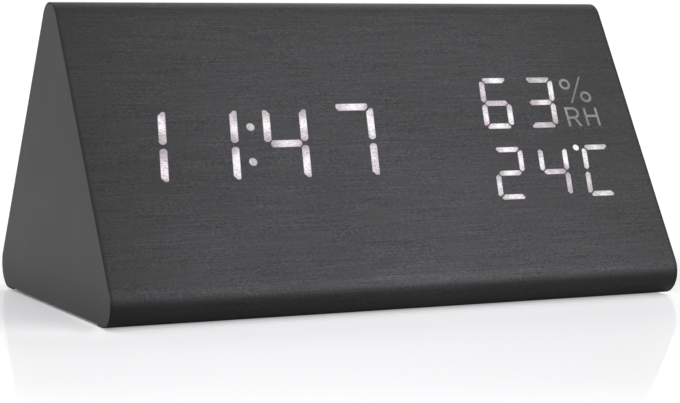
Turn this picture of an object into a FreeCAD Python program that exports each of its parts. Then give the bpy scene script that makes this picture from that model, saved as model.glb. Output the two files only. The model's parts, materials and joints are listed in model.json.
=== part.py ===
import FreeCAD, Part
import os
from collections import namedtuple
from math import atan2, cos, degrees, hypot, pi, radians, sin, tan

# Wedge-shaped wooden table clock with a seven-segment display behind its film.
# X runs along the length, the display faces -Y, Z is up, and the origin is the
# middle of the footprint on the table. All sizes are in millimetres.

# Body
length = 150.0
depth = 87.0
body_height = 73.0
corner_radius = 5.8
film_thick = 0.4
wall = 9.0
end_wall = 5.0
cavity_top_half = 2.0
cavity_floor_half = 31.0
block_length = 10.0
block_width = 10.0
block_height = 10.0

# Corners of the many-sided rods that stand for small round parts
screw_sides = 6
dot_sides = 12
round_sides = 16
wire_sides = 4

# How far a cutting tool runs past a face, and joined pieces run into each other
past = 1.0
bite = 0.5
sliver = 0.01

# Base plate, feet and battery bay
base_thick = 3.0
base_half_width = 34.0
base_clear = 0.2
pad_radius = 4.5
pad_thick = 1.2
pad_proud = 0.4
pad_from_end = 21.0
pad_y = 26.5
base_screw_from_end = 10.0
base_screw_y = 26.0
cell_radius = 5.25
cell_length = 44.5
cell_nub_radius = 1.9
cell_nub_length = 0.8
cell_clear = 0.15
cell_pitch = 11.1
cell_count = 4
spring_length = 5.5
spring_wire = 0.6
spring_turns = 3
spring_foot_radius = 3.6
spring_tip_radius = 2.4
spring_steps = 6
contact_thick = 0.4
contact_half = 4.2
tray_wall = 1.6
tag_reach = 2.2
tag_width = 2.4
tag_rise = 2.5

# Battery door
door_thick = 1.6
door_overlap = 2.2
door_clear = 0.2
door_travel = 7.0
hook_length = 4.0
hook_lip = 2.5
hook_thick = 1.3
hook_gap = 0.1
hook_lip_thick = 1.2
hook_spread = 14.0
hook_inset = 0.6
door_margin = 2.5
door_corner = 1.0
grip_start = 5.0
grip_width = 1.0
grip_count = 5
grip_pitch = 2.2
grip_length = 16.0
grip_depth = 0.5

# Display module
diffuser_thick = 0.25
reflector_thick = 6.5
display_board_thick = 1.6
reflector_from_end = 6.3
reflector_low = 16.5
reflector_high = 56.5
window_clear = 0.2
board_lip = 4.8
board_clear = 0.4
led_length = 1.6
led_width = 0.8
led_height = 0.6
well_share = 0.75
inlay_thick = 0.15
display_screw_from_end = 15.0
driver_u = 28.0
driver_v = 36.0
driver_length = 10.0
driver_width = 5.2
driver_height = 1.5

# Readout: time, humidity and temperature
slant = tan(radians(8.0))
time_text = "11:47"
time_from_end = 42.15
time_mid_v = 35.93
time_pitch = 18.1
humidity_text = "63%"
humidity_from_end = 32.2
humidity_mid_v = 45.8
temperature_text = "24C"
temperature_from_end = 27.36
temperature_mid_v = 25.94
small_pitch = 12.92
colon_spread = 9.37
colon_radius = 1.1
degree_radius = 0.9
degree_gap = 2.3
digit_readouts = ["time", "humidity", "temperature"]
DigitStyle = namedtuple("DigitStyle", "half_spacing half_height bar top_half mid_half "
                        "side_from side_to outer_cut inner_cut top_cut joint_cut")
large_digit = DigitStyle(4.8, 9.57, 1.95, 4.3, 4.05, 0.55, 9.2, 0.3, 1.0, 0.75, 0.55)
humidity_digit = DigitStyle(3.52, 6.55, 1.55, 3.3, 3.2, 0.3, 6.3, 0.3, 0.6, 0.9, 0.6)
temperature_digit = DigitStyle(3.52, 6.58, 1.45, 3.25, 3.15, 0.35, 6.3, 0.35, 0.6, 0.8, 0.55)
Bar = namedtuple("Bar", "mid_u mid_v half_u half_v cuts")
corner_sides = [(1, 1), (-1, 1), (-1, -1), (1, -1)]
numerals = {"1": "bc", "2": "abged", "3": "abgcd", "4": "fgbc", "6": "afgecd",
            "7": "abc", "C": "afed"}
icon_stroke = 0.75
percent_ring_radius = 1.68
percent_ring_u = 2.6
percent_ring_v = 1.9
percent_slash_low = (-2.1, -3.7)
percent_slash_high = (2.4, 4.1)
percent_slash_width = 0.6
percent_from_end = 14.5
percent_mid_v = 49.1
letter_height = 5.2
letter_waist = 2.5
letter_leg_foot = 0.9
letter_low = 38.7
letter_r_from_end = 19.4
letter_h_from_end = 13.9
letter_width = 4.1
icon_window_side = 0.6
icon_window_end = 1.5
icon_window_low = 0.8
icon_window_rise = 5.2
icon_lamp_shares = (0.25, 0.75)

# Main board and what stands on it
main_board_z = 22.0
main_board_thick = 1.6
main_board_half_length = 42.0
main_board_half_width = 16.5
post_radius = 2.8
post_x = 23.0
post_y = 13.5
coin_radius = 10.0
coin_thick = 3.2
coin_x = -27.0
coin_clear = 0.15
holder_wall = 1.2
holder_floor = 0.7
holder_height = 3.0
clip_thick = 0.3
clip_half_width = 2.5
clip_gap = 0.2
sounder_radius = 6.0
sounder_height = 8.5
sounder_x = 31.0
sounder_hole_radius = 1.0
sounder_hole_depth = 4.5
crystal_radius = 1.5
crystal_length = 6.0
crystal_x = 10.0
crystal_y = -7.0
cap_radius = 2.5
cap_height = 7.0
cap_spots = [(19.0, -6.0), (12.0, 4.0)]
regulator_x = 20.0
regulator_y = 5.0
regulator_half_length = 3.2
regulator_half_width = 1.8
regulator_height = 1.6
regulator_tab_half = 1.6
regulator_tab_reach = 1.4
regulator_leg_reach = 1.5
regulator_pitch = 2.3
microcontroller_length = 12.8
microcontroller_width = 7.6
microcontroller_height = 2.0
chip_leads = 4
chip_end = 1.0
leg_length = 1.2
leg_width = 0.4
leg_thick = 0.5
lead_radius = 0.7
lead_out = 4.5
lead_side = 8.0
lead_rise = 3.5
lead_inset = 2.5
bend_share = 0.45
ribbon_thick = 0.8
ribbon_width = 12.0
ribbon_reach = 5.0
button_ribbon_rise = 4.5

# Control panel in the back
panel_half_length = 42.0
panel_half_height = 9.0
panel_thick = 2.0
panel_corner = 3.0
panel_v = 26.0
panel_clear = 0.15
panel_flange = 5.0
panel_way_clear = 0.7
button_gap = 6.6
button_board_thick = 1.2
button_board_end_gap = 1.0
button_board_half_height = 6.5
button_names = ["set_button", "down_button", "up_button"]
button_radius = 3.4
button_proud = 1.2
button_flange_radius = 4.3
button_flange_thick = 0.8
button_clear = 0.1
button_rest_gap = 0.05
button_chamfer = 0.4
button_travel = 0.35
stem_radius = 1.6
switch_size = 6.0
switch_height = 3.4
plunger_radius = 1.7
plunger_clear = 0.05
plunger_proud = 1.6
plunger_depth = 1.2
plunger_spare = 0.3
jack_size = 7.5
jack_gap = 0.1
jack_nose_radius = 3.0
jack_bore_radius = 1.85
jack_bore_depth = 6.5
jack_pin_radius = 0.65
jack_pin_recess = 0.6
jack_pin_root = 1.5
jack_root_radius = 1.0
sound_radius = 3.0
sound_hole_radius = 0.8
sound_height = 4.5
sensor_length = 11.0
sensor_width = 9.0
sensor_height = 5.0
sensor_slot_pitch = 3.0
sensor_slot_width = 1.0
sensor_slot_length = 6.0
sensor_slot_depth = 1.0
vent_count = 5
vent_width = 1.0
vent_length = 7.0
vent_pitch = 2.0
boss_inset = 2.0
boss_radius = 2.0

# Screws: shank radius and length, head radius and height, and whether the head is sunk
Screw = namedtuple("Screw", "shank_radius shank_length head_radius head_height sunk")
display_screw = Screw(1.1, 5.5, 2.0, 1.2, False)
board_screw = Screw(1.1, 6.5, 2.0, 1.2, False)
button_board_screw = Screw(0.8, 5.5, 1.6, 1.0, False)
base_screw = Screw(1.4, 9.5, 2.9, 1.7, True)
panel_screw = Screw(0.9, 6.0, 1.8, 1.0, True)

V = FreeCAD.Vector
pad_x = length / 2 - pad_from_end
base_screw_x = length / 2 - base_screw_from_end
reflector_half_length = length / 2 - reflector_from_end
display_screw_x = length / 2 - display_screw_from_end
time_mid_u = time_from_end - length / 2
humidity_mid_u = length / 2 - humidity_from_end
temperature_mid_u = length / 2 - temperature_from_end
percent_mid_u = length / 2 - percent_from_end
letter_r_u = length / 2 - letter_r_from_end
letter_h_u = length / 2 - letter_h_from_end
half_base = depth / 2 - corner_radius
rise = body_height - 2 * corner_radius
slope = atan2(rise, half_base)
body_bottom = pad_proud
base_z = body_bottom + corner_radius
face_y = half_base + corner_radius * sin(slope)
face_z = base_z + corner_radius * cos(slope)
base_top = body_bottom + base_thick
cavity_half = length / 2 - end_wall
board_face = film_thick + diffuser_thick + reflector_thick
board_back = board_face + display_board_thick
recess_top = body_bottom + door_thick + door_clear
cell_z = recess_top + door_clear + cell_radius
bay_half_length = (cell_length + spring_length + 2 * contact_thick) / 2
bay_half_width = (cell_count - 1) * cell_pitch / 2 + cell_radius + cell_clear
tray_top = cell_z + cell_radius + cell_clear + tray_wall
door_half_length = bay_half_length + door_overlap
door_half_width = bay_half_width + tray_wall + hook_thick + door_margin
button_board_half_length = panel_half_length - panel_flange - button_board_end_gap
boss_u = button_board_half_length - boss_inset
button_board_face = panel_thick + button_gap
button_board_back = button_board_face + button_board_thick
main_board_top = main_board_z + main_board_thick


def spread(widths, low, high):
    """Middles of named pieces of given widths, spaced evenly between two limits."""
    gap = (high - low - sum(widths.values())) / (len(widths) + 1)
    middles = {}
    edge = low
    for name, width in widths.items():
        middles[name] = edge + gap + width / 2
        edge += gap + width
    return middles


# What stands in a row on the button board, between the panel's two bosses
row_widths = {"dc_jack": jack_size, "sound_sensor": 2 * sound_radius}
row_widths.update({name: 2 * button_flange_radius for name in button_names})
row_widths["climate_sensor"] = sensor_length
row_us = spread(row_widths, boss_radius - boss_u, boss_u - boss_radius)
jack_u = row_us["dc_jack"]
sound_u = row_us["sound_sensor"]
sensor_u = row_us["climate_sensor"]
button_us = {name: row_us[name] for name in button_names}

# Placements of things drawn flat with local X along the face, Y up it and Z out of it
front_place = FreeCAD.Placement(V(0, -face_y, face_z), FreeCAD.Rotation(V(1, 0, 0), degrees(slope)))
back_turn = FreeCAD.Placement(V(0, 0, 0), FreeCAD.Rotation(V(0, 0, 1), 180))
back_place = back_turn.multiply(front_place)


def on_face(shape, place):
    """Moves a shape drawn in a face's own frame onto the clock."""
    moved = shape.copy()
    moved.Placement = place.multiply(moved.Placement)
    return moved


def front(shape):
    return on_face(shape, front_place)


def back(shape):
    return on_face(shape, back_place)


def box(x_range, y_range, z_range):
    """Box between pairs of limits."""
    corner = V(x_range[0], y_range[0], z_range[0])
    return Part.makeBox(x_range[1] - x_range[0], y_range[1] - y_range[0], z_range[1] - z_range[0], corner)


def around(middle, half):
    """Pair of limits about a middle."""
    return (middle - half, middle + half)


def rod(radius, x, y, z_range):
    """Upright cylinder."""
    return Part.makeCylinder(radius, z_range[1] - z_range[0], V(x, y, z_range[0]))


def ring_angles(sides):
    """Corner directions of a many-sided rod, with flats square to both axes."""
    return [2 * pi * (k + 0.5) / sides for k in range(sides)]


def ngon(radius, x, y, z_range, sides):
    """Upright many-sided rod."""
    return prism([(x + radius * cos(t), y + radius * sin(t)) for t in ring_angles(sides)], z_range)


def dot(radius, u, v, z_range):
    """Small round spot or plunger."""
    return ngon(radius, u, v, z_range, dot_sides)


def prism(points, z_range):
    """Prism on a closed outline in the XY plane."""
    corners = [V(u, v, z_range[0]) for u, v in points]
    face = Part.Face(Part.makePolygon(corners + corners[:1]))
    return face.extrude(V(0, 0, z_range[1] - z_range[0]))


def rounded_plate(half_x, half_y, y_mid, z_range, radius):
    """Plate with rounded upright corners, centred on X."""
    plate = box((-half_x, half_x), around(y_mid, half_y), z_range)
    uprights = [edge for edge in plate.Edges if abs(edge.tangentAt(edge.FirstParameter).z) > 0.9]
    return plate.makeFillet(radius, uprights)


def fuse(shapes):
    """One solid from shapes that touch or overlap."""
    return shapes[0].multiFuse(shapes[1:]).removeSplitter()


def group(shapes):
    """Separate solids kept together in one node."""
    return Part.makeCompound(shapes)


def inner_height(half_width, inset):
    """Height at which the sloping faces, drawn in by inset, are that far from the middle."""
    return face_z + (face_y - inset / sin(slope) - half_width) * tan(slope)


def wedge(inset, half_length):
    """Wedge with rounded edges, drawn in from the outside by inset."""
    radius = corner_radius - inset
    centres = [(-half_base, base_z), (half_base, base_z), (0.0, base_z + rise)]
    out_angles = [slope + pi / 2, pi / 2 - slope, -pi / 2]
    starts = [out_angles[0], out_angles[2], out_angles[1]]
    ends = [3 * pi / 2, out_angles[1], out_angles[0]]
    edges = []
    points = []
    for (y, z), start, end in zip(centres, starts, ends):
        arc_points = [V(-half_length, y + radius * cos(a), z + radius * sin(a))
                      for a in (start, (start + end) / 2, end)]
        edges.append(Part.Arc(*arc_points).toShape())
        points.append(arc_points)
    order = [(0, 1), (1, 2), (2, 0)]
    for first, second in order:
        edges.append(Part.makeLine(points[first][2], points[second][0]))
    outline = Part.Wire(Part.__sortEdges__(edges))
    return Part.Face(outline).extrude(V(2 * half_length, 0, 0))


def cavity():
    """Hollow routed from beneath, with four corner blocks left for the base screws."""
    knee_z = inner_height(cavity_floor_half, film_thick + wall)
    top_z = inner_height(cavity_top_half, film_thick + wall)
    sides = [(cavity_floor_half, body_bottom), (cavity_floor_half, knee_z), (cavity_top_half, top_z)]
    outline = sides + [(-y, z) for y, z in reversed(sides)]
    corners = [V(-cavity_half, y, z) for y, z in outline]
    hollow = Part.Face(Part.makePolygon(corners + corners[:1])).extrude(V(2 * cavity_half, 0, 0))
    blocks = []
    for side_x in (-1, 1):
        for side_y in (-1, 1):
            x_range = sorted((side_x * cavity_half, side_x * (cavity_half - block_length)))
            y_range = sorted((side_y * cavity_floor_half, side_y * (cavity_floor_half - block_width)))
            blocks.append(box(x_range, y_range, (base_top, base_top + block_height)))
    return hollow.cut(group(blocks))


def display_board_limits():
    """Limits of the display board up the front face."""
    return (reflector_low - board_lip, reflector_high + board_lip)


def body_core():
    """Fibreboard wedge: hollow, display window, board recess and control panel opening."""
    low, high = display_board_limits()
    window = box(around(0, reflector_half_length + window_clear),
                 (reflector_low - window_clear, reflector_high + window_clear), (-board_back, 0))
    recess = box(around(0, cavity_half), (low - board_clear, high + board_clear),
                 (-film_thick - wall - sliver, -board_face))
    panel_bed = rounded_plate(panel_half_length + panel_clear, panel_half_height + panel_clear,
                              panel_v, (-panel_thick, 0), panel_corner)
    panel_way = box(around(0, panel_half_length - panel_flange),
                    around(panel_v, button_board_half_height + panel_way_clear),
                    (-film_thick - wall - past, 0))
    base_bed = box(around(0, cavity_half), around(0, base_half_width + base_clear), (0, base_top))
    core = wedge(film_thick, length / 2)
    core = core.cut(group([cavity()]))
    for tool in [front(window), front(recess), back(panel_bed), back(panel_way), base_bed]:
        core = core.cut(tool)
    for screw in base_screw_list() + display_screw_list() + panel_screw_list():
        core = core.cut(screw)
    return core


def grain_wrap():
    """Film round the front, ridge and back, tucked under the lower edges."""
    skin = wedge(0, length / 2).cut(wedge(film_thick, length / 2 + past))
    under = box(around(0, length), around(0, base_half_width + base_clear), (0, base_top))
    panel_hole = rounded_plate(panel_half_length + panel_clear, panel_half_height + panel_clear,
                               panel_v, (-panel_thick, past), panel_corner)
    skin = skin.cut(under).cut(back(panel_hole))
    return skin.cut(group([front(shape) for shape in all_lit_shapes(inlay_thick, past)]))


def corner_of(bar, side_u, side_v, inset_u=0, inset_v=0):
    """Corner of a bar, drawn in along either side."""
    return (bar.mid_u + side_u * (bar.half_u - inset_u), bar.mid_v + side_v * (bar.half_v - inset_v))


def outline_of(bar):
    """Bar with its corners cut, going round from the upper right."""
    points = []
    for (side_u, side_v), cut in zip(corner_sides, bar.cuts):
        on_side = corner_of(bar, side_u, side_v, 0, cut)
        on_end = corner_of(bar, side_u, side_v, cut, 0)
        points += [on_side, on_end] if side_u * side_v > 0 else [on_end, on_side]
    return points


def mouth_of(bar):
    """The bar's smaller four-cornered mouth at the board, in the same order."""
    inset_u = (1 - well_share) * bar.half_u
    inset_v = (1 - well_share) * bar.half_v
    return [corner_of(bar, side_u, side_v, inset_u, inset_v) for side_u, side_v in corner_sides]


def digit_bars(style):
    """The seven bars of a digit, by letter, about its middle and upright."""
    half_bar = style.bar / 2
    side_mid = (style.side_from + style.side_to) / 2
    side_half = (style.side_to - style.side_from) / 2
    outer, inner, top, joint = style.outer_cut, style.inner_cut, style.top_cut, style.joint_cut
    spacing, height = style.half_spacing, style.half_height
    return {
        "a": Bar(0, height, style.top_half, half_bar, (outer, outer, top, top)),
        "b": Bar(spacing, side_mid, half_bar, side_half, (outer, inner, joint, joint)),
        "c": Bar(spacing, -side_mid, half_bar, side_half, (joint, joint, inner, outer)),
        "d": Bar(0, -height, style.top_half, half_bar, (top, top, outer, outer)),
        "e": Bar(-spacing, -side_mid, half_bar, side_half, (joint, joint, outer, inner)),
        "f": Bar(-spacing, side_mid, half_bar, side_half, (inner, outer, joint, joint)),
        "g": Bar(0, 0, style.mid_half, half_bar, (joint, joint, joint, joint)),
    }


def leaned(points, mid_u, mid_v):
    """Points leaned to the right and moved to a digit's middle."""
    return [(mid_u + u + v * slant, mid_v + v) for u, v in points]


def digit_cells():
    """Every digit: its readout, style, middle and numeral."""
    cells = []
    rows = [("time", large_digit, time_text, time_mid_u, time_mid_v, time_pitch),
            ("humidity", humidity_digit, humidity_text, humidity_mid_u, humidity_mid_v, small_pitch),
            ("temperature", temperature_digit, temperature_text, temperature_mid_u,
             temperature_mid_v, small_pitch)]
    for readout, style, text, mid_u, mid_v, pitch in rows:
        shown = [sign for sign in text if sign in numerals]
        first = mid_u - pitch * (len(shown) - 1) / 2
        for place, numeral in enumerate(shown):
            cells.append((readout, style, first + place * pitch, mid_v, numeral))
    return cells


def bars_of(readouts, lit_only):
    """Cut outline and mouth of each bar of some readouts."""
    pairs = []
    for readout, style, mid_u, mid_v, numeral in digit_cells():
        if readout in readouts:
            for letter, bar in digit_bars(style).items():
                if letter in numerals[numeral] or not lit_only:
                    pairs.append((leaned(outline_of(bar), mid_u, mid_v), leaned(mouth_of(bar), mid_u, mid_v)))
    return pairs


def colon_spots():
    """Middles of the two colon dots, leaned like the digits."""
    return [(time_mid_u + side * colon_spread / 2 * slant, time_mid_v + side * colon_spread / 2)
            for side in (-1, 1)]


def degree_spot():
    """Middle of the degree dot, level with the top bars and just left of the last digit."""
    last_u = temperature_mid_u + small_pitch
    top = temperature_digit.half_height
    return (last_u - temperature_digit.half_spacing - degree_gap + top * slant, temperature_mid_v + top)


def percent_sign(z_range):
    """Two rings and a slash."""
    shapes = []
    for side in (-1, 1):
        u = percent_mid_u + side * percent_ring_u
        v = percent_mid_v - side * percent_ring_v
        ring = dot(percent_ring_radius, u, v, z_range)
        shapes.append(ring.cut(dot(percent_ring_radius - icon_stroke, u, v, z_range)))
    half = percent_slash_width / 2
    (u_low, v_low), (u_high, v_high) = percent_slash_low, percent_slash_high
    slash = [(percent_mid_u + u, percent_mid_v + v) for u, v in
             ((u_low - half, v_low), (u_low + half, v_low), (u_high + half, v_high), (u_high - half, v_high))]
    shapes.append(prism(slash, z_range))
    return shapes


def letter_shapes(z_range):
    """R and H of the relative humidity sign."""
    top = letter_low + letter_height
    middle = letter_low + letter_waist
    half = icon_stroke / 2
    right = letter_r_u + letter_width
    bowl_radius = (top - middle + icon_stroke) / 2
    bowl_v = (top + middle) / 2
    bowl_u = right - bowl_radius
    bowl = dot(bowl_radius, bowl_u, bowl_v, z_range)
    bowl = bowl.cut(dot(bowl_radius - icon_stroke, bowl_u, bowl_v, z_range))
    bowl = bowl.common(box((bowl_u, right), (letter_low, top + icon_stroke), z_range))
    leg = [(bowl_u - half, middle), (bowl_u + half, middle), (right, letter_low),
           (right - letter_leg_foot, letter_low)]
    letter_r = fuse([
        box((letter_r_u, letter_r_u + icon_stroke), (letter_low, bowl_v + bowl_radius), z_range),
        box((letter_r_u, bowl_u), (bowl_v + bowl_radius - icon_stroke, bowl_v + bowl_radius), z_range),
        box((letter_r_u, bowl_u), (bowl_v - bowl_radius, bowl_v - bowl_radius + icon_stroke), z_range),
        bowl, prism(leg, z_range)])
    h_right = letter_h_u + letter_width
    letter_h = fuse([
        box((letter_h_u, letter_h_u + icon_stroke), (letter_low, top), z_range),
        box((h_right - icon_stroke, h_right), (letter_low, top), z_range),
        box((letter_h_u, h_right), around(middle + half, half), z_range)])
    return [letter_r, letter_h]


def lit_shapes(readout, depth_in, proud):
    """Solids of one glowing group, from depth_in below the film's face to proud above it."""
    z_range = (-depth_in, proud)
    if readout == "colon":
        return [dot(colon_radius, u, v, z_range) for u, v in colon_spots()]
    if readout == "icons":
        return percent_sign(z_range) + letter_shapes(z_range)
    shapes = [prism(outline, z_range) for outline, mouth in bars_of([readout], True)]
    if readout == "temperature":
        shapes.append(dot(degree_radius, *degree_spot(), z_range))
    return shapes


def all_lit_shapes(depth_in, proud):
    shapes = []
    for readout in ("time", "colon", "humidity", "temperature", "icons"):
        shapes += lit_shapes(readout, depth_in, proud)
    return shapes


def light_well(outline, mouth, z_range):
    """Tapered well from a bar's cut outline in front to its four-cornered mouth at the board."""
    low = [V(u, v, z_range[0]) for u, v in mouth]
    high = [V(u, v, z_range[1]) for u, v in outline]
    count = len(low)
    corner_lists = [low, high]
    for k in range(count):
        after = (k + 1) % count
        corner_lists.append([low[k], high[2 * k], high[2 * k + 1]])
        corner_lists.append([low[k], high[2 * k + 1], high[2 * after], low[after]])
    return solid_of(corner_lists)


def solid_of(corner_lists):
    """Solid from its flat faces, each given by its corners."""
    faces = [Part.Face(Part.makePolygon(corners + corners[:1])) for corners in corner_lists]
    solid = Part.makeSolid(Part.makeShell(faces))
    if solid.Volume < 0:
        solid.reverse()
    return solid


def skinned(rings):
    """Solid with flat end caps and straight sides between rings of as many corners."""
    corner_lists = [rings[0], rings[-1]]
    count = len(rings[0])
    for low, high in zip(rings, rings[1:]):
        for k in range(count):
            after = (k + 1) % count
            quad = [low[k], low[after], high[after], high[k]]
            if flat(quad):
                corner_lists.append(quad)
            else:
                corner_lists += [quad[:3], [low[k], high[after], high[k]]]
    return solid_of(corner_lists)


def flat(quad):
    """Whether four corners lie in one plane."""
    a, b, c, d = quad
    normal = (b - a).cross(c - a)
    return abs(normal.dot(d - a)) < 1e-7 * max(normal.Length, 1e-9)


def icon_window():
    """Limits of the light box behind the humidity sign."""
    return ((letter_r_u - icon_window_side, reflector_half_length - icon_window_end),
            (letter_low - icon_window_low, percent_mid_v + icon_window_rise))


def display_reflector():
    """White block with one tapered light well for every bar, dot and sign of the display."""
    front_face = -film_thick - diffuser_thick
    z_range = (-board_face, front_face)
    block = box(around(0, reflector_half_length), (reflector_low, reflector_high), z_range)
    wells = [light_well(outline, mouth, z_range) for outline, mouth in bars_of(digit_readouts, False)]
    for u, v in colon_spots():
        wells.append(dot(colon_radius, u, v, z_range))
    wells.append(dot(degree_radius, *degree_spot(), z_range))
    wells.append(box(*icon_window(), z_range))
    return front(block.cut(group(wells)))


def diffuser_sheet():
    z_range = (-film_thick - diffuser_thick, -film_thick)
    return front(box(around(0, reflector_half_length), (reflector_low, reflector_high), z_range))


def display_board():
    low, high = display_board_limits()
    board = box(around(0, cavity_half - board_clear), (low, high), (-board_back, -board_face))
    board = front(board)
    for screw in display_screw_list():
        board = board.cut(screw)
    return board


def segment_leds():
    """One lamp under each light well, turned along its bar."""
    lamps = []
    z_low = -board_face
    for outline, mouth in bars_of(digit_readouts, False):
        (u_first, v_first), (u_across, v_across) = mouth[0], mouth[2]
        lies = abs(mouth[0][0] - mouth[1][0]) > abs(mouth[1][1] - mouth[2][1])
        lamp = box(around(0, led_length / 2), around(0, led_width / 2), (0, led_height))
        turn = 0 if lies else 90 - degrees(atan2(slant, 1))
        middle = V((u_first + u_across) / 2, (v_first + v_across) / 2, z_low)
        lamp.Placement = FreeCAD.Placement(middle, FreeCAD.Rotation(V(0, 0, 1), turn))
        lamps.append(lamp)
    spots = colon_spots() + [degree_spot()]
    (u_low, u_high), (v_low, v_high) = icon_window()
    spots += [((u_low + u_high) / 2, v_low + share * (v_high - v_low)) for share in icon_lamp_shares]
    for u, v in spots:
        lamps.append(box(around(u, led_width / 2), around(v, led_width / 2), (z_low, z_low + led_height)))
    return front(group(lamps))


def screw_shape(screw):
    """Screw along +Z with its head at the origin; a sunk head is a cone."""
    end = screw.head_height + screw.shank_length
    heights = [0, screw.head_height, screw.head_height, end]
    radii = [screw.head_radius, screw.head_radius, screw.shank_radius, screw.shank_radius]
    if screw.sunk:
        heights = [0, screw.head_height, end]
        radii = [screw.head_radius, screw.shank_radius, screw.shank_radius]
    sides = dot_sides if screw.sunk else screw_sides
    rings = [[V(r * cos(t), r * sin(t), z) for t in ring_angles(sides)] for r, z in zip(radii, heights)]
    return skinned(rings)


def placed(shape, x, y, z, down):
    """Shape moved to a point, turned over to point down if wanted."""
    moved = shape.copy()
    moved.Placement = FreeCAD.Placement(V(x, y, z), FreeCAD.Rotation(V(1, 0, 0), 180 if down else 0))
    return moved


def display_screw_list():
    """Screws from the hollow through the display board into the front wall."""
    low, high = display_board_limits()
    shape = screw_shape(display_screw)
    head_z = -board_back - display_screw.head_height
    screws = []
    for u in (-display_screw_x, 0.0, display_screw_x):
        for v in (low + board_lip / 2, high - board_lip / 2):
            screws.append(front(placed(shape, u, v, head_z, False)))
    return screws


def display_screws():
    return group(display_screw_list())


def segment_drivers():
    """Two driver chips on the back of the display board."""
    return group([front(chip(side * driver_u, driver_v, driver_length, driver_width, -board_back,
                             -driver_height)) for side in (-1, 1)])


def chip(mid_x, mid_y, body_length, body_width, seat_z, height):
    """Chip lying on a board, with a row of flat legs along each long side; a minus height hangs."""
    way = 1 if height > 0 else -1
    body_range = sorted((seat_z, seat_z + height))
    parts = [box(around(mid_x, body_length / 2), around(mid_y, body_width / 2), body_range)]
    pitch = (body_length - 2 * chip_end) / (chip_leads - 1)
    for side in (-1, 1):
        near = mid_y + side * body_width / 2
        y_range = sorted((near, near + side * leg_length))
        for place in range(chip_leads):
            x = mid_x + (place - (chip_leads - 1) / 2) * pitch
            z_range = sorted((seat_z, seat_z + way * leg_thick))
            parts.append(box(around(x, leg_width / 2), y_range, z_range))
    return fuse(parts)


def lit_node(readout):
    return front(group(lit_shapes(readout, inlay_thick, 0.0)))


def along_x(shape, x, y, z):
    """Upright shape laid along +X from a point."""
    laid = shape.copy()
    laid.Placement = FreeCAD.Placement(V(x, y, z), FreeCAD.Rotation(V(0, 1, 0), 90))
    return laid


def cell_ys():
    """Middles of the battery cells across the bay."""
    return [(place - (cell_count - 1) / 2) * cell_pitch for place in range(cell_count)]


def hook_spots():
    """Near corner and side of each door hook."""
    near_xs = (-hook_spread - hook_length / 2, hook_spread - hook_length / 2 - door_travel)
    return [(x, side) for side in (-1, 1) for x in near_xs]


def hook_y_range(side, margin):
    outer = door_half_width - hook_inset
    return sorted((side * (outer + margin), side * (outer - hook_thick - margin)))


def base_plate():
    """Moulded floor of the clock with the battery tray and four board posts on it."""
    plate = box(around(0, cavity_half - base_clear), around(0, base_half_width), (body_bottom, base_top))
    tray = box(around(0, bay_half_length + tray_wall), around(0, bay_half_width + tray_wall),
               (base_top - bite, tray_top))
    posts = [dot(post_radius, sx * post_x, sy * post_y, (tray_top - bite, main_board_z))
             for sx in (-1, 1) for sy in (-1, 1)]
    solid = fuse([plate, tray] + posts)
    door_bed = box((-door_half_length - door_clear, door_half_length + door_travel + door_clear),
                   around(0, door_half_width + door_clear), (body_bottom, recess_top))
    bay = box(around(0, bay_half_length), around(0, bay_half_width), (recess_top, cell_z))
    troughs = [along_x(dot((cell_radius + cell_clear) / cos(pi / dot_sides), 0, 0,
                           around(0, bay_half_length)), 0, y, cell_z) for y in cell_ys()]
    slots = []
    for x, side in hook_spots():
        slots.append(box((x - door_clear, x + hook_length + door_travel + door_clear),
                         hook_y_range(side, door_clear), (recess_top - sliver, base_top)))
    solid = solid.cut(group([door_bed])).cut(bay.multiFuse(troughs))
    for tool in slots + pad_solids() + base_screw_list() + board_screw_list() + contact_list():
        solid = solid.cut(tool)
    return solid


def base_screw_list():
    """Sunk screws from beneath into the corner blocks."""
    shape = screw_shape(base_screw)
    return [placed(shape, sx * base_screw_x, sy * base_screw_y, body_bottom, False)
            for sx in (-1, 1) for sy in (-1, 1)]


def base_screws():
    return group(base_screw_list())


def pad_solids():
    return [ngon(pad_radius, sx * pad_x, sy * pad_y, (0, pad_thick), round_sides)
            for sx in (-1, 1) for sy in (-1, 1)]


def rest_pads():
    return group(pad_solids())


def battery_door():
    """Flush door with four side hooks; it slides off lengthwise."""
    top = body_bottom + door_thick
    parts = [rounded_plate(door_half_length, door_half_width, 0, (body_bottom, top), door_corner)]
    lip_low = base_top + hook_gap
    for x, side in hook_spots():
        y_range = hook_y_range(side, 0)
        parts.append(box((x, x + hook_length), y_range, (top, lip_low + hook_lip_thick)))
        parts.append(box((x - hook_lip, x), y_range, (lip_low, lip_low + hook_lip_thick)))
    door = fuse(parts)
    for place in range(grip_count):
        x = -door_half_length + grip_start + place * grip_pitch
        groove = box(around(x, grip_width / 2), around(0, grip_length / 2), (0, body_bottom + grip_depth))
        door = door.cut(groove)
    return door


def battery_cells():
    """Four cells side by side, turned end for end in turn."""
    can = ngon(cell_radius, 0, 0, (0, cell_length - cell_nub_length), round_sides)
    nub = dot(cell_nub_radius, 0, 0, (cell_length - cell_nub_length, cell_length))
    cell = along_x(fuse([can, nub]), 0, 0, 0)
    nub_end = bay_half_length - contact_thick
    cells = []
    for place, y in enumerate(cell_ys()):
        turned = cell.copy()
        if place % 2 == 0:
            turned.rotate(V(0, 0, 0), V(0, 0, 1), 180)
        way = 1 if place % 2 else -1
        turned.translate(V(way * (nub_end - cell_length), y, cell_z))
        cells.append(turned)
    return group(cells)


def contact_plate(side, y_low, y_high):
    """Flat contact strip on an end wall of the bay."""
    x_range = sorted((side * bay_half_length, side * (bay_half_length - contact_thick)))
    return box(x_range, (y_low, y_high), around(cell_z, contact_half))


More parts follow.
